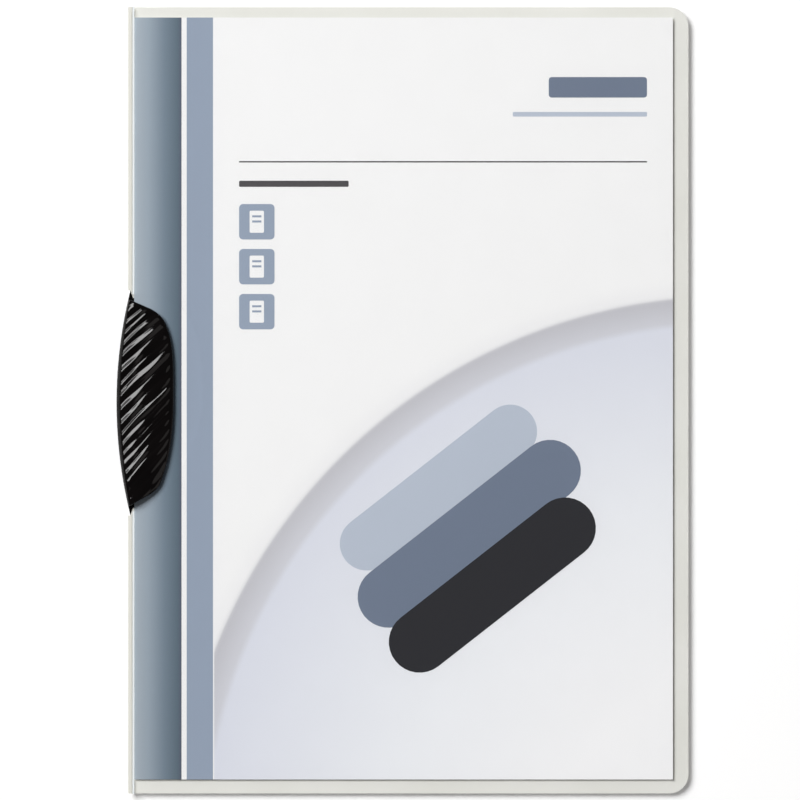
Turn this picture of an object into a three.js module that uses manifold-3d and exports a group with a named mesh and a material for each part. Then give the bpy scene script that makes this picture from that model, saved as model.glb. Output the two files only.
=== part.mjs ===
// A4 clip folder lying on its back: a clear front cover, a milky back cover, one printed sheet and a clip that
// swings out at the spine.
// Millimetres. +X runs from the spine to the free edge, +Y up the page, +Z from the back cover to the front.
// Plans are drawn with x measured from the spine's outer edge; the group is moved to its centre at the end.
import * as THREE from "three";
import { mergeVertices } from "three/addons/utils/BufferGeometryUtils.js";
import Module from "manifold-3d";

const wasm = await Module();
wasm.setup();

// Covers
const folderWidth = 218.5;
const folderHeight = 306.6;
const film = 0.4;
const cornerRadius = 7.5;
const frontCoverInset = 0.4; // the front cover's free edge stops this short of the back cover's
const foldRadius = 0.45;
const creaseInset = 2.1; // the front crease lies this far in from the spine's outer edge
const creaseRadius = 0.3;
const coverRise = 1.0; // free height between the sheet and the front cover

// Sheet
const sheetWidth = 210;
const sheetHeight = 297;
const sheetThickness = 0.2;
const sheetInset = 2.4; // from the spine's outer edge
const sheetDrop = 4.1; // from the covers' top edge

// Clip, drawn about its own middle
const clipDrop = 1.0; // the clip's middle lies this far below the covers' middle
const clipReach = 28.6; // of the back leaf, inwards from the spine's outer edge
const bowReach = 4.6; // of the clip's bowed outer side, beyond the spine's outer edge
const bowRadius = 180;
const backLeafThickness = 1.8;
const backLeafBevel = 0.35;
const backLeafOverhang = 14.35; // beyond each end of the front leaf
const wallThickness = 1.4;
const frontLeafThickness = 1.5;
const frontLeafReach = 17.85;
const frontLeafLength = 80.3; // along the ridge
const leafLift = 0.5; // the front leaf's free edge stands this clear of the sheet
const ridgeRise = 1.35; // the ridge lies this much higher than the free edge
const leafCrown = 0.75;
const fluteHeight = 0.55; // of flutes that begin 5 mm apart
const endSlope = 0.36; // the front leaf's two ends run back towards its free edge by this much per millimetre

// The oblique flutes on the front leaf: where each begins along the ridge, measured from the pivot's end, how
// far across the leaf it stands at full height, and how long the groove is that splits its foot.
const flutes = [
  [-9, 3, 0],
  [-5, 3, 0],
  [-1, 2, 0],
  [3.2, 4, 0],
  [8.4, 7.5, 0],
  [12.2, 2.5, 0],
  [16.2, 12.5, 5],
  [20.7, 15, 4],
  [26.2, 7.8, 5],
  [32.2, 6.5, 0],
  [36, 16, 2.5],
  [41.8, 8.8, 4.5],
  [47, 8.8, 4],
  [51.9, 12.5, 0],
  [56, 9.5, 3.5],
  [60.2, 5.6, 3],
  [63.5, 6.3, 0],
  [67.1, 10, 2],
  [71, 2.5, 0],
  [74.8, 2, 0],
  [78.4, 2.5, 0],
  [83, 2.5, 0],
  [87.5, 2.5, 0],
  [92, 2.5, 0],
  [96.5, 2.5, 0],
  [101, 2.5, 0],
];

// Rivet
const rivetHeadRadius = 3;
const rivetHeadThickness = 0.6;
const rivetCapThickness = 0.35;
const rivetShankRadius = 1.6;
const pivotInset = 5; // from the spine's outer edge
const pivotMargin = 3.55; // beyond the front leaf's upper end

// Window in the front cover and notch in the spine
const windowMargin = 2.15; // beyond each end of the front leaf
const windowBeyondLeaf = 11.45; // from the front leaf's free edge to the window's
const notchMargin = 0.75; // beyond each end of the front leaf, at the crease
const notchPoint = 3; // the notch runs this much further in the spine strip, to a slanted end
const notchDepth = 3.3; // from the spine's outer edge

// Clearances
const fitGap = 0.3;
const sheetGap = 0.25;
const pivotClearance = 0.1;

// Levels, from the surface that the folder lies on
const backCoverBase = backLeafThickness + fitGap;
const backCoverTop = backCoverBase + film;
const rivetCapBase = backCoverTop + sheetGap;
const sheetBase = rivetCapBase + rivetCapThickness + sheetGap;
const sheetTop = sheetBase + sheetThickness;
const frontCoverBase = sheetTop + coverRise;
const creaseHeight = frontCoverBase + film - creaseRadius;
const leafEdgeHeight = sheetTop + leafLift + frontLeafThickness;
const ridgeHeight = leafEdgeHeight + ridgeRise;

// Plan sizes that follow from the clip
const clipMiddle = -clipDrop;
const leafHalf = frontLeafLength / 2;
const windowHalfLength = leafHalf + windowMargin;
const windowDepth = frontLeafReach + windowBeyondLeaf - creaseInset;
const notchHalfLength = leafHalf + notchMargin;
const pivotRise = leafHalf + pivotMargin;
const pivot = new THREE.Vector2(pivotInset, clipMiddle + pivotRise);

// A closed mesh as a solid for cutting and joining, and back again.
const solid = (geometry) => {
  const loose = geometry.index ? geometry.toNonIndexed() : geometry;
  const bare = new THREE.BufferGeometry().setAttribute("position", loose.getAttribute("position"));
  const merged = mergeVertices(bare, 1e-4);
  return new wasm.Manifold(
    new wasm.Mesh({
      numProp: 3,
      vertProperties: merged.getAttribute("position").array,
      triVerts: new Uint32Array(merged.index.array),
    }),
  );
};

const geometryOf = (body) => {
  const { vertProperties, triVerts } = body.getMesh();
  const geometry = new THREE.BufferGeometry();
  geometry.setAttribute("position", new THREE.BufferAttribute(vertProperties, 3));
  geometry.setIndex(new THREE.BufferAttribute(triVerts, 1));
  return geometry;
};

// A plan outline raised from one level to another, with an optional rounded edge.
const slab = (outline, from, to, bevel = 0) => {
  const geometry = new THREE.ExtrudeGeometry(outline, {
    depth: to - from - 2 * bevel,
    bevelEnabled: bevel > 0,
    bevelThickness: bevel,
    bevelSize: bevel,
    bevelOffset: -bevel,
    bevelSegments: 3,
    curveSegments: 24,
  });
  return geometry.translate(0, 0, from + bevel);
};

// A cross-section in x and height, drawn out along the spine.
const alongSpine = (section, fromY, toY) =>
  new THREE.ExtrudeGeometry(section, { depth: toY - fromY, bevelEnabled: false, curveSegments: 10 })
    .rotateX(Math.PI / 2)
    .translate(0, toY, 0);

const cylinder = (x, y, radius, from, to) =>
  new THREE.CylinderGeometry(radius, radius, to - from, 40)
    .rotateX(Math.PI / 2)
    .translate(x, y, (from + to) / 2);

// A cover's panel, from x = start to x = end, with both free corners rounded.
const panelOutline = (start, end) => {
  const half = folderHeight / 2;
  const outline = new THREE.Shape();
  outline.moveTo(start, -half);
  outline.lineTo(end - cornerRadius, -half);
  outline.absarc(end - cornerRadius, -half + cornerRadius, cornerRadius, -Math.PI / 2, 0, false);
  outline.lineTo(end, half - cornerRadius);
  outline.absarc(end - cornerRadius, half - cornerRadius, cornerRadius, 0, Math.PI / 2, false);
  outline.lineTo(start, half);
  outline.closePath();
  return outline;
};

// The back cover's outer fold and leaning spine strip: the film turns up round the fold and runs to the front
// crease.
const spineSection = () => {
  const level = backCoverBase + film / 2;
  const fold = new THREE.Vector2(film / 2 + foldRadius, level + foldRadius);
  const crease = new THREE.Vector2(creaseInset, creaseHeight);
  const toCrease = crease.clone().sub(fold);
  const lean = toCrease.angle() - Math.asin(foldRadius / toCrease.length());
  const direction = new THREE.Vector2(Math.cos(lean), Math.sin(lean));
  const path = [{ at: new THREE.Vector2(12, level), normal: new THREE.Vector2(0, -1) }];
  const steps = 12;
  for (let i = 0; i <= steps; i++) {
    const angle = THREE.MathUtils.lerp(1.5 * Math.PI, Math.PI / 2 + lean, i / steps);
    const normal = new THREE.Vector2(Math.cos(angle), Math.sin(angle));
    path.push({ at: normal.clone().multiplyScalar(foldRadius).add(fold), normal });
  }
  const last = path[path.length - 1];
  const end = crease.clone().addScaledVector(direction, -(creaseRadius + fitGap));
  path.push({ at: end, normal: last.normal });
  const side = (sign) => path.map(({ at, normal }) => at.clone().addScaledVector(normal, (sign * film) / 2));
  return new THREE.Shape([...side(-1), ...side(1).reverse()]);
};

const makeBackCover = () => {
  const half = folderHeight / 2;
  const panel = solid(slab(panelOutline(8, folderWidth), backCoverBase, backCoverTop));
  const spine = solid(alongSpine(spineSection(), -half, half));
  const corner = 1.2;
  const far = notchHalfLength + notchPoint;
  const notch = new THREE.Shape();
  notch.moveTo(-2, clipMiddle - far);
  notch.lineTo(creaseInset - 1.1, clipMiddle - far);
  notch.lineTo(creaseInset - 0.2, clipMiddle - notchHalfLength);
  notch.absarc(notchDepth - corner, clipMiddle - notchHalfLength + corner, corner, -Math.PI / 2, 0, false);
  notch.absarc(notchDepth - corner, clipMiddle + notchHalfLength - corner, corner, 0, Math.PI / 2, false);
  notch.lineTo(creaseInset - 0.2, clipMiddle + notchHalfLength);
  notch.lineTo(creaseInset - 1.1, clipMiddle + far);
  notch.lineTo(-2, clipMiddle + far);
  notch.closePath();
  const holeRadius = rivetShankRadius + pivotClearance;
  const hole = cylinder(pivot.x, pivot.y, holeRadius, backCoverBase - 1, backCoverTop + 1);
  return geometryOf(
    panel
      .add(spine)
      .subtract(solid(slab(notch, backCoverBase - 1, frontCoverBase + 2)))
      .subtract(solid(hole)),
  );
};

// The window is half of an oval, open towards the spine: square-shouldered above, drawn in below.
const windowOutline = () => {
  const steps = 56;
  const outline = new THREE.Shape();
  outline.moveTo(creaseInset - 3, clipMiddle - windowHalfLength);
  for (let i = 0; i <= steps; i++) {
    const angle = THREE.MathUtils.lerp(-Math.PI / 2, Math.PI / 2, i / steps);
    const power = angle > 0 ? 3 : 1.6;
    const across = Math.max(Math.cos(angle), 0) ** (2 / power);
    const along = Math.sign(angle) * Math.abs(Math.sin(angle)) ** (2 / power);
    outline.lineTo(creaseInset + windowDepth * across, clipMiddle + windowHalfLength * along);
  }
  outline.lineTo(creaseInset - 3, clipMiddle + windowHalfLength);
  outline.closePath();
  return outline;
};

// The front cover ends in a rounded crease, on whose middle line it opens.
const makeFrontCover = () => {
  const half = folderHeight / 2;
  const outline = panelOutline(creaseInset, folderWidth - frontCoverInset);
  const panel = solid(slab(outline, frontCoverBase, frontCoverBase + film));
  const bead = new THREE.Shape().absarc(creaseInset, creaseHeight, creaseRadius, 0, 2 * Math.PI, false);
  return geometryOf(
    panel
      .add(solid(alongSpine(bead, -half, half)))
      .subtract(solid(slab(windowOutline(), frontCoverBase - 2, frontCoverBase + 2))),
  );
};

const makeSheet = () => {
  const radius = 0.6;
  const top = folderHeight / 2 - sheetDrop;
  const outline = new THREE.Shape();
  const left = sheetInset;
  const right = sheetInset + sheetWidth;
  const bottom = top - sheetHeight;
  outline.absarc(right - radius, top - radius, radius, 0, Math.PI / 2, false);
  outline.absarc(left + radius, top - radius, radius, Math.PI / 2, Math.PI, false);
  outline.absarc(left + radius, bottom + radius, radius, Math.PI, 1.5 * Math.PI, false);
  outline.absarc(right - radius, bottom + radius, radius, 1.5 * Math.PI, 2 * Math.PI, false);
  outline.closePath();
  return slab(outline, sheetBase, sheetTop);
};

// The rivet's head lies in the back leaf's recess and its flat cap on the film.
const makeRivet = () => {
  const headBase = 0.2;
  const headTop = headBase + rivetHeadThickness;
  const capTop = rivetCapBase + rivetCapThickness;
  const profile = [
    [0, headBase],
    [rivetHeadRadius, headBase],
    [rivetHeadRadius, headTop],
    [rivetShankRadius, headTop],
    [rivetShankRadius, rivetCapBase],
    [rivetHeadRadius, rivetCapBase],
    [rivetHeadRadius - 0.15, capTop],
    [0, capTop],
  ].map(([radius, height]) => new THREE.Vector2(radius, height));
  return new THREE.LatheGeometry(profile, 40).rotateX(Math.PI / 2).translate(pivot.x, pivot.y, 0);
};

// Where the clip's bowed outer side lies, at a distance along the clip from its middle.
const bow = (along) => -bowReach + bowRadius - Math.sqrt(bowRadius ** 2 - along ** 2);

// The leaf behind the back cover: bowed outside, rounded to a blunt tip at each end.
const backLeafOutline = () => {
  const tip = leafHalf + backLeafOverhang;
  const bowEnd = leafHalf + 0.24 * backLeafOverhang;
  const tipX = (clipReach - bowReach) / 2;
  const pull = 0.55;
  const swell = Math.asin(bowEnd / bowRadius);
  const [slopeX, slopeY] = [Math.sin(swell), Math.cos(swell)];
  const handle = 0.6 * (tip - bowEnd);
  const start = bow(bowEnd);
  const outline = new THREE.Shape();
  outline.absarc(bowRadius - bowReach, 0, bowRadius, Math.PI - swell, Math.PI + swell, false);
  const shoulder = [start + handle * slopeX, bowEnd + handle * slopeY];
  outline.bezierCurveTo(shoulder[0], -shoulder[1], tipX - 6, -tip, tipX, -tip);
  outline.bezierCurveTo(tipX + pull * (clipReach - tipX), -tip, clipReach, -pull * tip, clipReach, 0);
  outline.bezierCurveTo(clipReach, pull * tip, tipX + pull * (clipReach - tipX), tip, tipX, tip);
  outline.bezierCurveTo(tipX - 6, tip, ...shoulder, start, bowEnd);
  return outline;
};

// The front leaf's free edge, in from the spine: fuller towards the pivot, drawn in towards the far end.
const freeEdge = (along) => {
  const fullest = 0.075 * leafHalf;
  const distance = (along - fullest) / leafHalf;
  return distance > 0
    ? frontLeafReach * (1 - (distance / 1.07) ** 4)
    : frontLeafReach * (1 - (-distance / 1.39) ** 2.6);
};

// How far the wall leans in from the bow to the ridge.
const wallRun = (along) => 1.5 - 0.8 * (along / leafHalf) ** 2;

// Height of the flutes over the smooth leaf. Each rises from its foot as a nearly flat face that looks up the
// page, and falls away in a soft curve to the next.
const flute = (across, along, share) => {
  const straight = leafHalf - along + 0.9 * across + 0.5 * (1 - Math.exp(-across / 1.5));
  const fromTop = straight + 0.3 * Math.sin(0.42 * across + 0.33 * straight);
  const index = flutes.findLastIndex(([start]) => start <= fromTop);
  if (index < 0 || index === flutes.length - 1) return 0;
  const [start, reach, split] = flutes[index];
  const gap = flutes[index + 1][0] - start;
  const part = (fromTop - start) / gap;
  const crest = 0.42;
  const rise = 0.5 * (part / crest) + 0.5 * Math.sin((Math.PI / 2) * (part / crest));
  const fall = 0.5 + 0.5 * Math.cos((Math.PI * (part - crest)) / (1 - crest));
  const splitEnd = split > 0 ? 1 - THREE.MathUtils.smoothstep(across, 0.4 * split, split) : 0;
  const groove = 0.3 * splitEnd * Math.exp(-(((part - 0.2) / 0.07) ** 2));
  const full = 1 - THREE.MathUtils.smoothstep(across, 0.75 * reach, 1.15 * reach);
  const rim = 1 - THREE.MathUtils.smoothstep(share, 0.8, 0.97);
  const farEnd = 0.45 + 0.55 * THREE.MathUtils.smoothstep(leafHalf + along, 3, 14);
  const height = fluteHeight * (gap / 5) ** 0.8 * (0.52 + 0.48 * full) * rim * farEnd;
  return height * ((part < crest ? rise : fall) - groove);
};

// One cross-section of wall and front leaf, as a closed loop of points. Its place along the clip is 0 at the
// pivot's end and 1 at the other.
const shellSection = (place) => {
  const ridgeAlong = THREE.MathUtils.lerp(leafHalf, -leafHalf, place);
  const outer = bow(ridgeAlong) + 0.12;
  const ridge = new THREE.Vector2(outer + wallRun(ridgeAlong), ridgeAlong);
  const drawIn = endSlope * 9.5;
  const edgeAlong = THREE.MathUtils.lerp(leafHalf - drawIn, -leafHalf + 1.3 * drawIn, place);
  const fromEnd = Math.min(place, 1 - place) * frontLeafLength;
  const cornerCut = 2.2 * Math.max(0, 1 - fromEnd / 5) ** 2;
  const edge = new THREE.Vector2(freeEdge(edgeAlong) - cornerCut, edgeAlong);
  const width = ridge.distanceTo(edge);
  const rounding = 0.55 * (1 - Math.sqrt(1 - Math.max(0, 1 - fromEnd / 0.9) ** 2));
  const top = (share) =>
    THREE.MathUtils.lerp(ridgeHeight, leafEdgeHeight, share) + 4 * leafCrown * share * (1 - share) - rounding;
  const under = (share) => Math.max(top(share) - frontLeafThickness + rounding, sheetTop + fitGap);

  const ends = THREE.MathUtils.smoothstep(fromEnd, 0, 2.5);
  const fluted = (share) => {
    const { x, y } = ridge.clone().lerp(edge, share);
    return top(share) + ends * flute(x - ridge.x, y, share);
  };

  const points = [];
  const onLeaf = (share, height) => {
    const { x, y } = ridge.clone().lerp(edge, share);
    points.push(new THREE.Vector3(x, y, height));
  };
  // Outer side of the wall, then over the ridge.
  const wallBase = backLeafThickness / 2;
  const springing = backLeafThickness + 0.7;
  points.push(new THREE.Vector3(outer, ridgeAlong, wallBase));
  const wallSteps = 6;
  for (let i = 0; i < wallSteps; i++) {
    const rise = i / wallSteps;
    const x = THREE.MathUtils.lerp(outer, ridge.x, rise ** 1.7);
    points.push(new THREE.Vector3(x, ridgeAlong, THREE.MathUtils.lerp(springing, fluted(0), rise)));
  }
  // Top of the leaf, with its flutes.
  const topSteps = 22;
  const radius = frontLeafThickness / 2;
  const topEnd = 1 - radius / width;
  for (let i = 0; i <= topSteps; i++) {
    const share = (i / topSteps) * topEnd;
    onLeaf(share, fluted(share));
  }
  // Rounded free edge.
  const edgeTop = top(topEnd);
  const edgeUnder = under(topEnd);
  for (let i = 1; i < 5; i++) {
    const angle = (i / 5) * Math.PI;
    const height = (edgeTop + edgeUnder) / 2 + ((edgeTop - edgeUnder) / 2) * Math.cos(angle);
    onLeaf(topEnd + ((1 - topEnd) * Math.sin(angle)), height);
  }
  // Underside, then down the inner side of the wall.
  const innerShare = (wallThickness + 1.4 - (ridge.x - outer)) / width;
  for (let i = 0; i <= 5; i++) {
    const share = THREE.MathUtils.lerp(topEnd, innerShare, i / 5);
    onLeaf(share, under(share));
  }
  const inner = outer + wallThickness;
  const innerTop = under(innerShare);
  const throat = points[points.length - 1];
  for (let i = 1; i <= 4; i++) {
    const angle = (i / 4) * (Math.PI / 2);
    const x = throat.x - (throat.x - inner) * Math.sin(angle);
    const y = THREE.MathUtils.lerp(throat.y, ridgeAlong, Math.sin(angle));
    points.push(new THREE.Vector3(x, y, innerTop - 1.2 * (1 - Math.cos(angle))));
  }
  points.push(new THREE.Vector3(inner, ridgeAlong, wallBase));
  return points;
};

// Cross-sections joined to one closed skin, with a flat face at each end.
const loft = (sections) => {
  const count = sections[0].length;
  const positions = sections.flat().flatMap((point) => point.toArray());
  const triangles = [];
  for (let i = 0; i < sections.length - 1; i++)
    for (let j = 0; j < count; j++) {
      const [a, b] = [i * count + j, i * count + ((j + 1) % count)];
      const [c, d] = [a + count, b + count];
      triangles.push(a, c, b, b, c, d);
    }
  const cap = (index, flip) => {
    const origin = sections[index][0];
    const acrossOf = (p) => Math.hypot(p.x - origin.x, p.y - origin.y);
    const flat = sections[index].map((p) => new THREE.Vector2(acrossOf(p), p.z));
    for (const face of THREE.ShapeUtils.triangulateShape(flat, [])) {
      const [p, q, r] = face.map((k) => index * count + k);
      triangles.push(p, ...(flip ? [r, q] : [q, r]));
    }
  };
  cap(0, true);
  cap(sections.length - 1, false);
  const geometry = new THREE.BufferGeometry();
  geometry.setAttribute("position", new THREE.Float32BufferAttribute(positions, 3));
  return geometry.setIndex(triangles);
};

const makeClip = () => {
  const leaf = solid(slab(backLeafOutline(), 0, backLeafThickness, backLeafBevel));
  const steps = 88;
  const places = Array.from({ length: steps + 1 }, (_, i) => i / steps);
  // More cross-sections where the ends round over.
  const nearEnd = [0.25, 0.5, 0.75].map((mm) => mm / frontLeafLength);
  places.push(...nearEnd, ...nearEnd.map((place) => 1 - place));
  places.sort((a, b) => a - b);
  const shell = solid(loft(places.map(shellSection)));
  const pivotAt = [pivot.x, pivot.y - clipMiddle];
  const hole = cylinder(...pivotAt, rivetShankRadius + pivotClearance, -1, backLeafThickness + 1);
  const recessTop = 0.2 + rivetHeadThickness + fitGap;
  const recess = cylinder(...pivotAt, rivetHeadRadius + fitGap, -1, recessTop);
  const body = leaf.add(shell).subtract(solid(hole)).subtract(solid(recess));
  return geometryOf(body).translate(0, clipMiddle, 0);
};

const clearFilm = { color: 0xdcddd8, roughness: 0.2, transparent: true, opacity: 0.35 };
const milkyFilm = { color: 0xe1e1dc, roughness: 0.3, transparent: true, opacity: 0.9 };
const blackGloss = { color: 0x0a0808, roughness: 0.2 };
const paper = { color: 0xf7f6f4, roughness: 0.8 };

const folder = new THREE.Group();
const place = (name, geometry, look) => {
  const mesh = new THREE.Mesh(geometry, new THREE.MeshStandardMaterial(look));
  mesh.name = name;
  mesh.position.x = (bowReach - folderWidth) / 2;
  folder.add(mesh);
};
place("back_cover", makeBackCover(), milkyFilm);
place("front_cover", makeFrontCover(), clearFilm);
place("insert_sheet", makeSheet(), paper);
place("clip", makeClip(), blackGloss);
place("pivot_rivet", makeRivet(), blackGloss);

export default folder;
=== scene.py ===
"""Looks of the clip folder: a clear and a milky film cover, a printed sheet and a rippled black clip.

Plans are in millimetres, with x measured from the spine's outer edge and y from the covers' middle.
"""

import math

import bmesh
import bpy
import numpy as np
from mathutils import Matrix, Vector
from mathutils.geometry import tessellate_polygon


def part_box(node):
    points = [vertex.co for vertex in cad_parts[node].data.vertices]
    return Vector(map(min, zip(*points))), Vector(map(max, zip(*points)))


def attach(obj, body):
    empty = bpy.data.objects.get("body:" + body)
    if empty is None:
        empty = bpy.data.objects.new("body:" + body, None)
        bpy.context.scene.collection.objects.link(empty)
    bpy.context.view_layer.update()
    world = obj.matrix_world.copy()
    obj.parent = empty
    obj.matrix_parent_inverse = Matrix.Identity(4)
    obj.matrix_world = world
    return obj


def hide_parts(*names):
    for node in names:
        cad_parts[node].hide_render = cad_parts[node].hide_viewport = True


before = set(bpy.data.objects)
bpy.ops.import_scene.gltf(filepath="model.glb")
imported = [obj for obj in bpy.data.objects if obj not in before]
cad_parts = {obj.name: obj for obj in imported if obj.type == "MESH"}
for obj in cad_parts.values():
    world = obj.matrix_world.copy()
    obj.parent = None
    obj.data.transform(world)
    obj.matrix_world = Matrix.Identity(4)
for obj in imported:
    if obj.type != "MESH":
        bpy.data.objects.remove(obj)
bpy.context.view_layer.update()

MM = 0.001
SPINE = -106.95  # the spine's outer edge in the frame, in mm
SHEET_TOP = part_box("insert_sheet")[1][2] / MM


def place(x, y, z):
    """A point of the plan, in metres in the frame."""
    return ((x + SPINE) * MM, y * MM, z * MM)


def srgb(r, g, b):
    """A colour given as 0 to 255, as linear light."""

    def linear(v):
        v /= 255
        return v / 12.92 if v <= 0.04045 else ((v + 0.055) / 1.055) ** 2.4

    return (linear(r), linear(g), linear(b), 1.0)


class Graph:
    """A node material built by name."""

    def __init__(self, name):
        self.mat = bpy.data.materials.new(name)
        self.mat.use_nodes = True
        self.tree = self.mat.node_tree
        self.tree.nodes.clear()

    def add(self, kind, inputs=(), **settings):
        node = self.tree.nodes.new(kind)
        for key, value in settings.items():
            setattr(node, key, value)
        for key, value in dict(inputs).items():
            self.put(node.inputs[key], value)
        return node

    def put(self, socket, value):
        if isinstance(value, bpy.types.NodeSocket):
            self.tree.links.new(value, socket)
        elif socket.type == "VECTOR" and len(value) == 4:
            socket.default_value = value[:3]
        else:
            socket.default_value = value

    def math(self, operation, a, b=0.0, clamp=False):
        node = self.add("ShaderNodeMath", operation=operation, use_clamp=clamp)
        self.put(node.inputs[0], a)
        self.put(node.inputs[1], b)
        return node.outputs[0]

    def where(self):
        """Position in the object, in metres."""
        return self.add("ShaderNodeTexCoord").outputs["Object"]

    def split(self, vector):
        node = self.add("ShaderNodeSeparateXYZ", {"Vector": vector})
        return node.outputs

    def noise(self, vector, scale, detail=2.0, roughness=0.5):
        return self.add(
            "ShaderNodeTexNoise",
            {"Vector": vector, "Scale": scale, "Detail": detail, "Roughness": roughness},
        ).outputs["Fac"]

    def ramp(self, value, stops):
        """A colour that runs through (position, colour) stops."""
        node = self.add("ShaderNodeValToRGB", {"Fac": value})
        ramp = node.color_ramp
        while len(ramp.elements) < len(stops):
            ramp.elements.new(0.5)
        for element, (at, colour) in zip(ramp.elements, stops):
            element.position = at
            element.color = colour
        return node.outputs["Color"]

    def scale_to(self, value, low, high, to_low=0.0, to_high=1.0):
        return self.add(
            "ShaderNodeMapRange",
            {"Value": value, "From Min": low, "From Max": high, "To Min": to_low, "To Max": to_high},
        ).outputs["Result"]

    def scaled(self, colour, factor):
        node = self.add("ShaderNodeVectorMath", operation="SCALE")
        self.put(node.inputs[0], colour)
        self.put(node.inputs["Scale"], factor)
        return node.outputs[0]

    def mix(self, share, a, b):
        """Colour a, or b where share is 1."""
        node = self.add("ShaderNodeMix", data_type="RGBA")
        self.put(node.inputs[0], share)
        self.put(node.inputs[6], a)
        self.put(node.inputs[7], b)
        return node.outputs[2]

    def blend(self, share, a, b):
        """Shader a, or b where share is 1."""
        return self.add("ShaderNodeMixShader", {0: share, 1: a, 2: b}).outputs[0]

    def shader(self, kind, colour, **inputs):
        node = self.add(f"ShaderNodeBsdf{kind}", {"Color": colour})
        for key, value in inputs.items():
            self.put(node.inputs[key], value)
        return node.outputs[0]

    def bump(self, height, strength, distance):
        return self.add(
            "ShaderNodeBump", {"Height": height, "Strength": strength, "Distance": distance}
        ).outputs["Normal"]

    def finish(self, shader):
        out = self.add("ShaderNodeOutputMaterial")
        self.tree.links.new(shader, out.inputs["Surface"])
        return self.mat


NOISE_SPAN = (0.3, 0.7)  # where nearly all of a noise's values lie


def paper_material(name, colour=None, build=None):
    """Coated paper: faint fibre in the colour, and a soft sheen broken by a very fine tooth."""
    g = Graph(name)
    at = g.where()
    base = colour if colour is not None else build(g, at)
    cloud = g.noise(at, 60.0, 4.0, 0.6)
    fibre = g.noise(at, 2600.0, 3.0, 0.65)
    light = g.scale_to(cloud, *NOISE_SPAN, 0.988, 1.0)
    grain = g.scale_to(fibre, *NOISE_SPAN, 0.985, 1.01)
    bsdf = g.add(
        "ShaderNodeBsdfPrincipled",
        {
            "Base Color": g.scaled(base, g.math("MULTIPLY", light, grain)),
            "Roughness": g.scale_to(fibre, 0.2, 0.8, 0.5, 0.62),
            "Specular IOR Level": 0.25,
            "Normal": g.bump(fibre, 0.12, 0.03 * MM),
        },
    )
    return g.finish(bsdf.outputs[0])


CREASE = (2.1 + SPINE) * MM  # the front crease, in metres in the frame
WHITE = (1, 1, 1, 1)


def film_surface(g, body, gloss):
    """Adds the film's shine, broken by faint scuffs, to what it does with the light that goes in."""
    scuff = g.noise(g.where(), 700.0, 0.0)
    shine = g.shader("Glossy", WHITE, Roughness=g.scale_to(scuff, *NOISE_SPAN, 0.08, 0.16))
    facing = g.add("ShaderNodeLayerWeight", {"Blend": 0.5}).outputs["Facing"]
    face_on = 0.002
    share = g.math("ADD", g.math("MULTIPLY", g.math("POWER", facing, 4.0), gloss), face_on)
    return g.blend(share, body, shine)


def clear_film():
    """Clear polypropylene: lets nearly all through, with greyish cut edges and a painted white
    highlight along the crease.
    """
    g = Graph("clear_film")
    haze = g.shader("Diffuse", srgb(168, 175, 178))
    no_shadow = g.math("SUBTRACT", 1.0, g.add("ShaderNodeLightPath").outputs["Is Shadow Ray"])
    level = g.math("ABSOLUTE", g.split(g.add("ShaderNodeNewGeometry").outputs["Normal"])[2])
    edge = g.math("MULTIPLY", g.scale_to(level, 0.85, 0.2, 0.003, 0.85), no_shadow)
    sheet = g.blend(edge, g.shader("Transparent", WHITE), haze)
    # Painted highlight: a white line within about 0.5 mm of the crease stands in for the shine of the
    # rounded fold.
    white = srgb(238, 242, 243)
    crease_painted_highlight = g.blend(0.1, g.shader("Diffuse", white), g.shader("Translucent", white))
    from_crease = g.math("ABSOLUTE", g.math("SUBTRACT", g.split(g.where())[0], CREASE))
    crease = g.math("MULTIPLY", g.scale_to(from_crease, 0.5 * MM, 0.35 * MM, 0.0, 0.9), no_shadow)
    return g.finish(film_surface(g, g.blend(crease, sheet, crease_painted_highlight), 0.8))


def milky_film():
    """Milky polypropylene: a warm white haze, through which a little of what lies behind is seen; over
    the spine strip it is darkened, a painted shade.
    """
    g = Graph("milky_film")
    cloud = g.noise(g.where(), 35.0, 1.0)
    flat = g.mix(g.scale_to(cloud, *NOISE_SPAN), srgb(246, 246, 240), srgb(250, 250, 245))
    # Painted shade: the tint darkens over the spine strip, fading in over 0.4 mm from the crease.
    spine = g.scale_to(g.split(g.where())[0], CREASE, CREASE - 0.4 * MM)
    tint_with_painted_spine_shade = g.mix(spine, flat, srgb(228, 227, 219))
    haze = g.blend(0.12, g.shader("Diffuse", tint_with_painted_spine_shade), g.shader("Translucent", tint_with_painted_spine_shade))
    body = g.blend(0.88, g.shader("Transparent", srgb(250, 250, 248)), haze)
    return g.finish(film_surface(g, body, 0.5))


def gloss_black(name, roughness=0.07, specular=0.33):
    """High-gloss black plastic with a faint moulded unevenness and a few hairline scuffs."""
    g = Graph(name)
    at = g.where()
    orange_peel = g.noise(at, 420.0)
    broad = g.noise(at, 90.0)
    along_scuffs = g.add(
        "ShaderNodeMapping", {"Vector": at, "Rotation": (0, 0, 0.6), "Scale": (1.0, 14.0, 1.0)}
    )
    hair = g.noise(along_scuffs.outputs[0], 500.0, 2.0, 0.7)
    scuffed = g.scale_to(hair, 0.68, 0.78, roughness, roughness + 0.12)
    warm = g.mix(g.scale_to(broad, *NOISE_SPAN), srgb(6, 4, 4), srgb(10, 7, 7))
    bsdf = g.add(
        "ShaderNodeBsdfPrincipled",
        {
            "Base Color": warm,
            "Roughness": scuffed,
            "Specular IOR Level": specular,
            "Normal": g.bump(orange_peel, 0.05, 0.04 * MM),
        },
    )
    return g.finish(bsdf.outputs[0])


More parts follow.
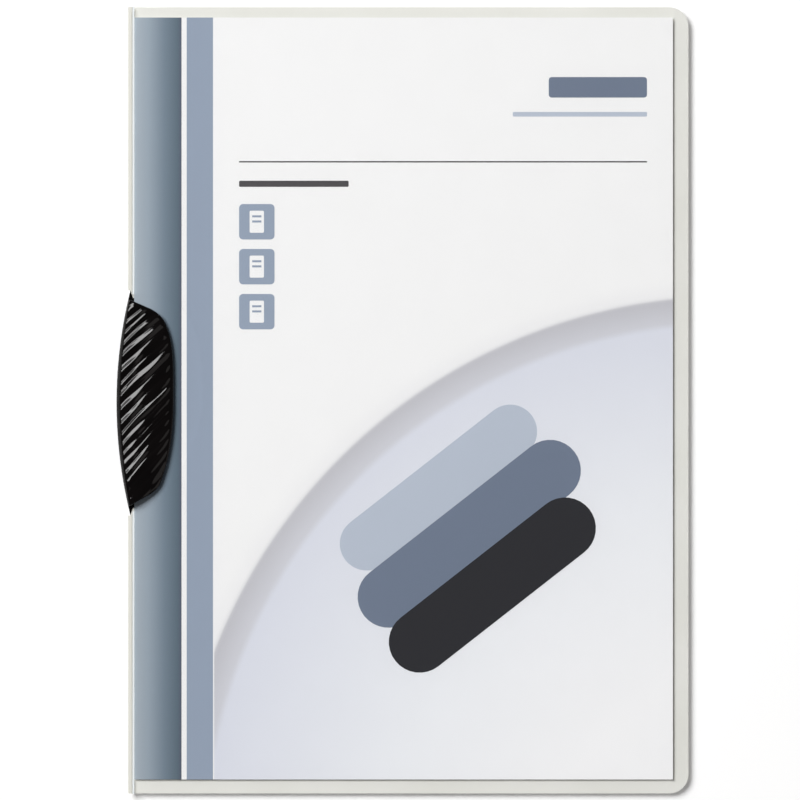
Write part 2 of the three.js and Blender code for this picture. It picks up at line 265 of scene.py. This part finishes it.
def mesh_object(name, vertices, faces, materials, face_slots=None, smooth=True):
    """A mesh in metres; face_slots gives each face's place in materials."""
    mesh = bpy.data.meshes.new(name)
    mesh.from_pydata([tuple(v) for v in vertices], [], [tuple(int(i) for i in f) for f in faces])
    for material in materials:
        mesh.materials.append(material)
    if face_slots is not None:
        mesh.polygons.foreach_set("material_index", np.asarray(face_slots, dtype=np.int32))
    if smooth:
        mesh.polygons.foreach_set("use_smooth", np.ones(len(mesh.polygons), dtype=bool))
    mesh.update()
    ob = bpy.data.objects.new(name, mesh)
    bpy.context.scene.collection.objects.link(ob)
    return ob


# Packed nodes that keep their shape
white_paper = paper_material("white_paper", srgb(248, 248, 248))
for node, material in (
    ("front_cover", clear_film()),
    ("back_cover", milky_film()),
    ("insert_sheet", white_paper),
    ("pivot_rivet", gloss_black("rivet_black", 0.3, 0.4)),
):
    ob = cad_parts[node]
    ob.data.materials.clear()
    ob.data.materials.append(material)

# The print
LAYER = 0.02  # each ink over the paper or over another lies this much higher
PRINT_Z = SHEET_TOP + LAYER
SHEET_LEFT, SHEET_RIGHT = 2.4, 212.4
SHEET_TOP_Y, SHEET_BOTTOM_Y = 149.2, -147.8
BAND_RIGHT, STRIPE_LEFT, STRIPE_RIGHT, FIELD_LEFT, FIELD_TOP = 20.85, 22.88, 33.13, 33.6, 45.0
ARC_X, ARC_Y, ARC_RADIUS = 235, -175, 215  # the great arc over the picture's ground
ARC_SHADOW = 8  # how far the soft shadow begins outside the arc
TEXT_LEFT, TEXT_RIGHT = 43.3, 202.3


class Print:
    """Flat fields of ink, each a polygon just over the paper. A lift counts in layers."""

    def __init__(self):
        self.vertices, self.faces, self.slots, self.materials = [], [], [], []

    def ink(self, material):
        if material not in self.materials:
            self.materials.append(material)
        return self.materials.index(material)

    def polygon(self, points, material, lift=0):
        start = len(self.vertices)
        self.vertices += [place(x, y, PRINT_Z + lift * LAYER) for x, y in points]
        self.faces.append(range(start, start + len(points)))
        self.slots.append(self.ink(material))

    def box(self, left, bottom, right, top, material, radius=0.0, lift=0):
        if radius <= 0:
            points = [(left, bottom), (right, bottom), (right, top), (left, top)]
        else:
            points = []
            steps = 8
            for cx, cy, start in (
                (right - radius, bottom + radius, -90),
                (right - radius, top - radius, 0),
                (left + radius, top - radius, 90),
                (left + radius, bottom + radius, 180),
            ):
                for i in range(steps + 1):
                    a = math.radians(start + i * 90 / steps)
                    points.append((cx + radius * math.cos(a), cy + radius * math.sin(a)))
        self.polygon(points, material, lift)

    def object(self, name):
        return mesh_object(name, self.vertices, self.faces, self.materials, self.slots, smooth=False)


def band_colour(g, at):
    """Blue-grey that deepens from the sheet's edge inwards, and a shade darker at the bottom."""
    x, y, _ = g.split(at)
    darkest = 20.7
    across = g.scale_to(x, (SHEET_LEFT + SPINE) * MM, (darkest + SPINE) * MM)
    colour = g.ramp(
        across,
        [
            (0.0, srgb(170, 180, 189)),
            (0.3, srgb(154, 167, 179)),
            (0.65, srgb(117, 133, 147)),
            (0.93, srgb(92, 109, 122)),
            (1.0, srgb(88, 95, 112)),
        ],
    )
    return g.scaled(colour, g.scale_to(y, 0.15, -0.15, 1.02, 0.95))


def field_colour(g, at):
    """The picture's ground: white outside the arc, a soft grey shadow along it, and inside it
    lavender that fades to white."""
    x, y, _ = g.split(at)
    dx = g.math("SUBTRACT", x, (ARC_X + SPINE) * MM)
    dy = g.math("SUBTRACT", y, ARC_Y * MM)
    far = g.math("SQRT", g.math("ADD", g.math("MULTIPLY", dx, dx), g.math("MULTIPLY", dy, dy)))
    inwards = g.scale_to(far, (ARC_RADIUS + ARC_SHADOW) * MM, 0.0)
    return g.ramp(
        inwards,
        [
            (0.0, srgb(248, 248, 248)),
            (0.03, srgb(243, 243, 244)),
            (0.036, srgb(196, 196, 202)),
            (0.075, srgb(210, 211, 218)),
            (0.085, srgb(222, 225, 235)),
            (0.4, srgb(240, 242, 246)),
            (0.7, srgb(250, 250, 251)),
        ],
    )


band_ink = paper_material("band_ink", build=band_colour)
stripe_ink = paper_material("stripe_ink", srgb(150, 163, 182))
field_ink = paper_material("field_ink", build=field_colour)
dark_ink = paper_material("dark_ink", srgb(78, 76, 78))
mid_ink = paper_material("mid_ink", srgb(112, 124, 144))
pale_ink = paper_material("pale_ink", srgb(186, 195, 209))
deep_ink = paper_material("deep_ink", srgb(38, 38, 43))


def capsule(cx, cy, length, width):
    """A slanted round-ended bar's outline."""
    turn = math.radians(38)
    steps = 16
    points = []
    for side in (0, 1):
        for i in range(steps + 1):
            a = -math.pi / 2 + math.pi * i / steps + side * math.pi
            along = (length - width) / 2 * (1 - 2 * side) + width / 2 * math.cos(a)
            across = width / 2 * math.sin(a)
            points.append(
                (
                    cx + along * math.cos(turn) - across * math.sin(turn),
                    cy + along * math.sin(turn) + across * math.cos(turn),
                )
            )
    return points


art = Print()
art.box(SHEET_LEFT, SHEET_BOTTOM_Y, BAND_RIGHT, SHEET_TOP_Y, band_ink)
art.box(STRIPE_LEFT, SHEET_BOTTOM_Y, STRIPE_RIGHT, SHEET_TOP_Y, stripe_ink)
art.box(FIELD_LEFT, SHEET_BOTTOM_Y, SHEET_RIGHT, FIELD_TOP, field_ink)
art.box(TEXT_LEFT, 92.7, TEXT_RIGHT, 93.25, dark_ink)
art.box(TEXT_LEFT, 83.2, 86.0, 85.6, dark_ink, radius=0.5)
art.box(164.0, 118.0, TEXT_RIGHT, 126.0, mid_ink, radius=1.2)
art.box(150.0, 110.6, TEXT_RIGHT, 112.4, pale_ink, radius=0.4)
# Each icon: a tile, a blank page on it, and two strokes on the page
TILE = 13.8
for top in (76.5, 59.0, 41.45):
    art.box(TEXT_LEFT, top - TILE, TEXT_LEFT + TILE, top, stripe_ink, radius=1.6, lift=1)
    art.box(47.4, top - 11.2, 53.0, top - 2.6, white_paper, radius=0.5, lift=2)
    for stroke in (4.4, 6.4):
        art.box(48.4, top - stroke - 0.8, 52.0, top - stroke, stripe_ink, lift=3)
art.polygon(capsule(121, -34, 92, 21), pale_ink, 1)
art.polygon(capsule(133, -52, 104, 24), mid_ink, 2)
art.polygon(capsule(142, -72, 96, 24), deep_ink, 3)
printed = art.object("sheet_print")
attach(printed, "back")

# The clip is drawn about its own middle, which lies this far from the covers' middle
CLIP_MIDDLE = -1.0
LEAF_THICK = 1.8  # of the back leaf
BOW_REACH, BOW_RADIUS = 4.6, 180.0  # of the outer side
LEAF_LENGTH, LEAF_REACH = 80.3, 17.85  # of the front leaf
HALF = LEAF_LENGTH / 2
RIDGE, LEAF_EDGE, CROWN = 6.9, 5.55, 0.75  # levels of the ridge and the free edge, and the rise between
FRONT_THICK, WALL = 1.5, 1.4
WALL_INSET = 0.12  # from the back leaf's outer side
END_SLOPE = 0.36  # the front leaf's ends run back towards its free edge by this much per millimetre
EDGE_RUN = 9.5  # across the leaf at its ends, from ridge to free edge
FLUTE_HEIGHT = 0.55
# Where each flute begins along the ridge, how far across it stands full, how long its split foot is
FLUTES = np.array(
    [
        (-9, 3, 0), (-5, 3, 0), (-1, 2, 0), (3.2, 4, 0), (8.4, 7.5, 0), (12.2, 2.5, 0),
        (16.2, 12.5, 5), (20.7, 15, 4), (26.2, 7.8, 5), (32.2, 6.5, 0), (36, 16, 2.5),
        (41.8, 8.8, 4.5), (47, 8.8, 4), (51.9, 12.5, 0), (56, 9.5, 3.5), (60.2, 5.6, 3),
        (63.5, 6.3, 0), (67.1, 10, 2), (71, 2.5, 0), (74.8, 2, 0), (78.4, 2.5, 0), (83, 2.5, 0),
        (87.5, 2.5, 0), (92, 2.5, 0), (96.5, 2.5, 0), (101, 2.5, 0),
    ]
)  # fmt: skip


def smoothstep(v, low, high):
    """0 below low, 1 above high, and smooth between."""
    t = np.clip((v - low) / (high - low), 0, 1)
    return t * t * (3 - 2 * t)


def bow(along):
    """The outer side of the clip, along the spine."""
    return -BOW_REACH + BOW_RADIUS - np.sqrt(BOW_RADIUS**2 - along**2)


def free_edge(along):
    """The front leaf's free edge: blunt above its widest place, and slimmer below."""
    widest = 3.0
    d = along - widest
    above = 1 - np.abs(d / 42.9) ** 4
    below = 1 - np.abs(d / 55.8) ** 2.6
    return LEAF_REACH * np.where(d > 0, above, below)


def flute(across, along, share):
    """Height of the slanting flutes over the smooth leaf, in mm. Each rises fast and falls slowly."""
    straight = HALF - along + 0.97 * across + 0.5 * (1 - np.exp(-across / 1.2))
    from_top = straight + 0.3 * np.sin(0.42 * across + 0.33 * straight)
    starts, reaches, splits = FLUTES.T
    index = np.clip(np.searchsorted(starts, from_top, side="right") - 1, 0, len(starts) - 2)
    gap = starts[index + 1] - starts[index]
    part = np.clip((from_top - starts[index]) / gap, 0, 1)
    split, reach = splits[index], reaches[index]
    crest = np.where(split > 0, 0.4, 0.34 + 0.05 * np.sin(2.4 * index))
    rise = 0.4 * part / crest + 0.6 * np.sin(math.pi / 2 * np.minimum(part / crest, 1))
    fall = 0.5 + 0.5 * np.cos(math.pi * np.clip((part - crest) / (1 - crest), 0, 1))
    split_end = np.where(split > 0, 1 - smoothstep(across, 0.5 * split, 1.3 * split + 1e-6), 0)
    groove = 0.4 * split_end * np.exp(-(((part - 0.2) / 0.05) ** 2))
    full = 1 - smoothstep(across, 0.7 * reach, 1.15 * reach)
    rim = 1 - smoothstep(share, 0.85, 0.98)
    far_end = 0.3 + 0.7 * smoothstep(HALF + along, 5, 15)
    long = 1 + 0.2 * smoothstep(reach, 9, 14)
    height = FLUTE_HEIGHT * long * (gap / 5) ** 0.8 * (0.5 + 0.5 * full) * rim * far_end
    height = height * (0.72 + 0.28 * smoothstep(across, 0, 5))
    fillet = 0.12 * np.exp(-across / 0.25)
    return height * (np.where(part < crest, rise, fall) - groove) - fillet


WALL_ROWS = 15  # of the section, from the wall's foot to the ridge


def shell_section(t):
    """The clip's wall and front leaf cut across, at the share t of the way down, as rows of points."""
    ridge_along = HALF - 2 * HALF * t
    outer = bow(ridge_along) + WALL_INSET
    lean = 1.5 - 0.8 * (ridge_along / HALF) ** 2  # of the wall, from its foot to the ridge
    ridge = np.array([outer + lean, ridge_along])
    draw_in = END_SLOPE * EDGE_RUN
    edge_along = (HALF - draw_in) * (1 - t) + (-HALF + 1.3 * draw_in) * t
    from_end = min(t, 1 - t) * LEAF_LENGTH
    corner = 2.2 * max(0, 1 - from_end / 5) ** 2
    edge = np.array([float(free_edge(np.array(edge_along))) - corner, edge_along])
    width = np.linalg.norm(edge - ridge)
    rounding = 0.55 * (1 - math.sqrt(1 - max(0, 1 - from_end / 0.9) ** 2))
    fade = smoothstep(from_end, 0, 2.5)
    foot, clearance, springing = 0.9, 0.3, LEAF_THICK + 0.7

    def top(share):
        return RIDGE + (LEAF_EDGE - RIDGE) * share + 4 * CROWN * share * (1 - share) - rounding

    def under(share):
        return np.maximum(top(share) - FRONT_THICK + rounding, SHEET_TOP + clearance)

    def on_leaf(share):
        return ridge[None] + (edge - ridge)[None] * np.asarray(share)[:, None]

    # Up the wall, over the fluted leaf, round its free edge, back under it and down the wall's inside
    rows = [np.array([[outer, ridge_along, foot]])]
    end = 1 - FRONT_THICK / 2 / width
    share = np.linspace(0, end, 130)
    plan = on_leaf(share)
    fluted = top(share) + fade * flute(plan[:, 0] - ridge[0], plan[:, 1], share)
    rise = np.linspace(0, 1, WALL_ROWS)[:-1]
    wall = [
        outer + (ridge[0] - outer) * rise**1.7,
        np.full_like(rise, ridge_along),
        springing + (fluted[0] - springing) * rise,
    ]
    rows.append(np.stack(wall, 1))
    rows.append(np.column_stack([plan, fluted]))
    a = np.linspace(0, math.pi, 13)[1:-1]
    high, low = top(end), float(under(end))
    plan = on_leaf(end + (1 - end) * np.sin(a))
    rows.append(np.column_stack([plan, (high + low) / 2 + (high - low) / 2 * np.cos(a)]))
    throat_radius, throat_drop = 1.4, 1.2
    share = np.linspace(end, (WALL + throat_radius - (ridge[0] - outer)) / width, 8)
    rows.append(np.column_stack([on_leaf(share), under(share)]))
    throat = rows[-1][-1]
    inner = outer + WALL
    a = np.linspace(0, math.pi / 2, 8)[1:]
    curve = [
        throat[0] - (throat[0] - inner) * np.sin(a),
        throat[1] + (ridge_along - throat[1]) * np.sin(a),
        throat[2] - throat_drop * (1 - np.cos(a)),
    ]
    rows.append(np.stack(curve, 1))
    rows.append(np.array([[inner, ridge_along, foot]]))
    return np.concatenate(rows)


def loft(sections):
    """A closed skin over the sections, as vertices and faces; its two ends are the last faces."""
    count = len(sections[0])
    vertices = np.concatenate(sections)
    faces = []
    for i in range(len(sections) - 1):
        for j in range(count):
            a, b = i * count + j, i * count + (j + 1) % count
            faces.append((a, a + count, b + count, b))
    faces.append(tuple(range(count)))
    last = (len(sections) - 1) * count
    faces.append(tuple(range(last + count - 1, last - 1, -1)))
    return vertices, faces


def bezier(a, b, c, d, steps=36):
    s = np.linspace(0, 1, steps, endpoint=False)[:, None]
    a, b, c, d = (np.array(v, dtype=float)[None] for v in (a, b, c, d))
    return a * (1 - s) ** 3 + 3 * b * s * (1 - s) ** 2 + 3 * c * s * s * (1 - s) + d * s**3


def back_leaf_outline():
    """The leaf behind the back cover, anticlockwise: bowed outside, with a blunt tip at each end."""
    overhang, reach, pull = 14.35, 28.6, 0.55
    tip, bow_end, tip_x = HALF + overhang, HALF + 0.24 * overhang, (reach - BOW_REACH) / 2
    swell = math.asin(bow_end / BOW_RADIUS)
    handle = 0.6 * (tip - bow_end)
    start = float(bow(bow_end))
    shoulder = (start + handle * math.sin(swell), bow_end + handle * math.cos(swell))
    along = np.linspace(bow_end, -bow_end, 120, endpoint=False)
    side = tip_x + pull * (reach - tip_x)
    return np.concatenate(
        [
            np.stack([bow(along), along], 1),
            bezier((start, -bow_end), (shoulder[0], -shoulder[1]), (tip_x - 6, -tip), (tip_x, -tip)),
            bezier((tip_x, -tip), (side, -tip), (reach, -pull * tip), (reach, 0)),
            bezier((reach, 0), (reach, pull * tip), (side, tip), (tip_x, tip)),
            bezier((tip_x, tip), (tip_x - 6, tip), shoulder, (start, bow_end)),
        ]
    )


def back_leaf():
    """The back leaf as vertices and faces: rounded rims, and a recessed hole for the rivet."""
    outline = back_leaf_outline()
    direction = np.roll(outline, -1, 0) - np.roll(outline, 1, 0)
    inwards = np.stack([-direction[:, 1], direction[:, 0]], 1)
    inwards /= np.linalg.norm(direction, axis=1)[:, None]
    bevel, pivot = 0.35, np.array([5.0, HALF + 3.55])
    recess_radius, recess_depth, hole_radius = 3.3, 1.1, 1.7
    vertices, faces = [], []

    def ring(plan, height):
        vertices.extend((x, y, height) for x, y in plan)
        return range(len(vertices) - len(plan), len(vertices))

    def skirt(low, high):
        n = len(low)
        faces.extend((low[i], low[(i + 1) % n], high[(i + 1) % n], high[i]) for i in range(n))

    def circle(radius, steps=48):
        a = np.linspace(0, 2 * math.pi, steps, endpoint=False)
        return pivot[None] + radius * np.stack([np.cos(a), np.sin(a)], 1)

    def cap(outer, hole):
        loops = [[Vector(vertices[i]) for i in outer], [Vector(vertices[i]) for i in hole]]
        index = [*outer, *hole]
        faces.extend(tuple(index[i] for i in face) for face in tessellate_polygon(loops))

    quarter = np.linspace(0, math.pi / 2, 6)
    levels = [(bevel * (1 - math.sin(a)), bevel * (1 - math.cos(a))) for a in quarter]
    levels += [(inset, LEAF_THICK - height) for inset, height in reversed(levels)]
    rings = [ring(outline + inwards * inset, height) for inset, height in levels]
    for low, high in zip(rings, rings[1:]):
        skirt(low, high)
    bore = (
        (recess_radius, 0),
        (recess_radius, recess_depth),
        (hole_radius, recess_depth),
        (hole_radius, LEAF_THICK),
    )
    holes = [ring(circle(radius), height) for radius, height in bore]
    for low, high in zip(holes, holes[1:]):
        skirt(high, low)
    cap(rings[0], holes[0])
    cap(rings[-1], holes[-1])
    return vertices, faces


def clip_mesh():
    """The whole clip as vertices and faces, and whether each face takes the copy of the black with its
    reflection turned down, a painted shade.
    """
    close = 0.012  # share of the length at each end where sections stand closer, for the rounded ends
    steps = np.concatenate(
        [
            np.linspace(0, close, 10)[:-1],
            np.linspace(close, 1 - close, 500),
            np.linspace(1 - close, 1, 10)[1:],
        ]
    )
    points, faces = loft([shell_section(float(t)) for t in steps])
    # Painted shade: the wall, both ends and the back leaf take the copy of the black with its
    # reflection turned down, which keeps them dark.
    painted_shade_faces = [j < WALL_ROWS for _ in steps[1:] for j in range(len(points) // len(steps))]
    painted_shade_faces += [True, True]
    leaf_points, leaf_faces = back_leaf()
    faces += [tuple(i + len(points) for i in face) for face in leaf_faces]
    painted_shade_faces += [True] * len(leaf_faces)
    return [*points, *leaf_points], faces, painted_shade_faces


points, faces, painted_shade_faces = clip_mesh()
# The second copy is the same plastic with its reflection turned down, a painted shade.
blacks = [gloss_black("clip_gloss"), gloss_black("clip_black_dulled_for_shade", 0.4, 0.02)]
points = [place(x, y + CLIP_MIDDLE, z) for x, y, z in points]
clip = mesh_object("clip_detailed", points, faces, blacks, painted_shade_faces)
shape = bmesh.new()
shape.from_mesh(clip.data)
bmesh.ops.recalc_face_normals(shape, faces=shape.faces)
shape.to_mesh(clip.data)
shape.free()
clip.data.set_sharp_from_angle(angle=math.radians(50))
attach(clip, "clip")
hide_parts("clip")


# Floor, lights and camera
FLOOR_HALF, FLOOR_Z = 3.0, -0.2 * MM


def floor_material():
    """White, lifted a little where it is seen, so that it stays white out to the frame's corners."""
    g = Graph("floor_white")
    matte = g.shader("Diffuse", WHITE)
    path = g.add("ShaderNodeLightPath").outputs
    mirrored = g.math("ADD", path["Is Glossy Ray"], path["Is Transmission Ray"])
    seen = g.math("MULTIPLY", g.math("ADD", path["Is Camera Ray"], mirrored, clamp=True), 0.13)
    lift = g.add("ShaderNodeEmission", {"Color": WHITE, "Strength": seen})
    both = g.add("ShaderNodeAddShader", {0: matte, 1: lift.outputs[0]})
    return g.finish(both.outputs[0])


floor = mesh_object(
    "floor",
    [(x * FLOOR_HALF, y * FLOOR_HALF, FLOOR_Z) for x, y in ((-1, -1), (1, -1), (1, 1), (-1, 1))],
    [(0, 1, 2, 3)],
    [floor_material()],
    smooth=False,
)


def area_light(name, towards, distance, size, radiance, colour=(1, 1, 1)):
    """A square soft light seen from the folder in a direction, with a given brightness to the eye."""
    data = bpy.data.lights.new(name, "AREA")
    data.shape = "SQUARE"
    data.size = size
    data.energy = radiance * math.pi * size * size
    data.color = colour
    ob = bpy.data.objects.new(name, data)
    direction = Vector(towards).normalized()
    ob.location = direction * distance
    ob.rotation_euler = (-direction).to_track_quat("-Z", "Y").to_euler()
    bpy.context.scene.collection.objects.link(ob)


def from_sky(azimuth, elevation):
    """A direction; azimuth is measured anticlockwise from +X."""
    a, e = math.radians(azimuth), math.radians(elevation)
    return (math.cos(a) * math.cos(e), math.sin(a) * math.cos(e), math.sin(e))


area_light("key", from_sky(140, 48), distance=5.0, size=2.65, radiance=13.2)
area_light("fill", from_sky(-25, 42), distance=4.0, size=2.3, radiance=0.55, colour=(1.0, 0.93, 0.9))

world = bpy.data.worlds.new("studio")
world.use_nodes = True
background = world.node_tree.nodes["Background"]
background.inputs["Color"].default_value = WHITE
background.inputs["Strength"].default_value = 0.08
bpy.context.scene.world = world

DISTANCE = 2.0  # from the camera straight down to the sheet, in metres
SHOWN = 0.31183  # width of the photograph at the sheet, in metres
AIM_X, AIM_Y = -0.00093, 0.00012  # the photograph's middle
SENSOR = 36
camera_data = bpy.data.cameras.new("camera")
camera_data.sensor_width = SENSOR
camera_data.lens = SENSOR * DISTANCE / SHOWN
camera_data.clip_end = 20
camera = bpy.data.objects.new("camera", camera_data)
camera.location = (AIM_X, AIM_Y, DISTANCE + SHEET_TOP * MM)
bpy.context.scene.collection.objects.link(camera)
bpy.context.scene.camera = camera

bpy.context.scene.view_settings.view_transform = "Standard"
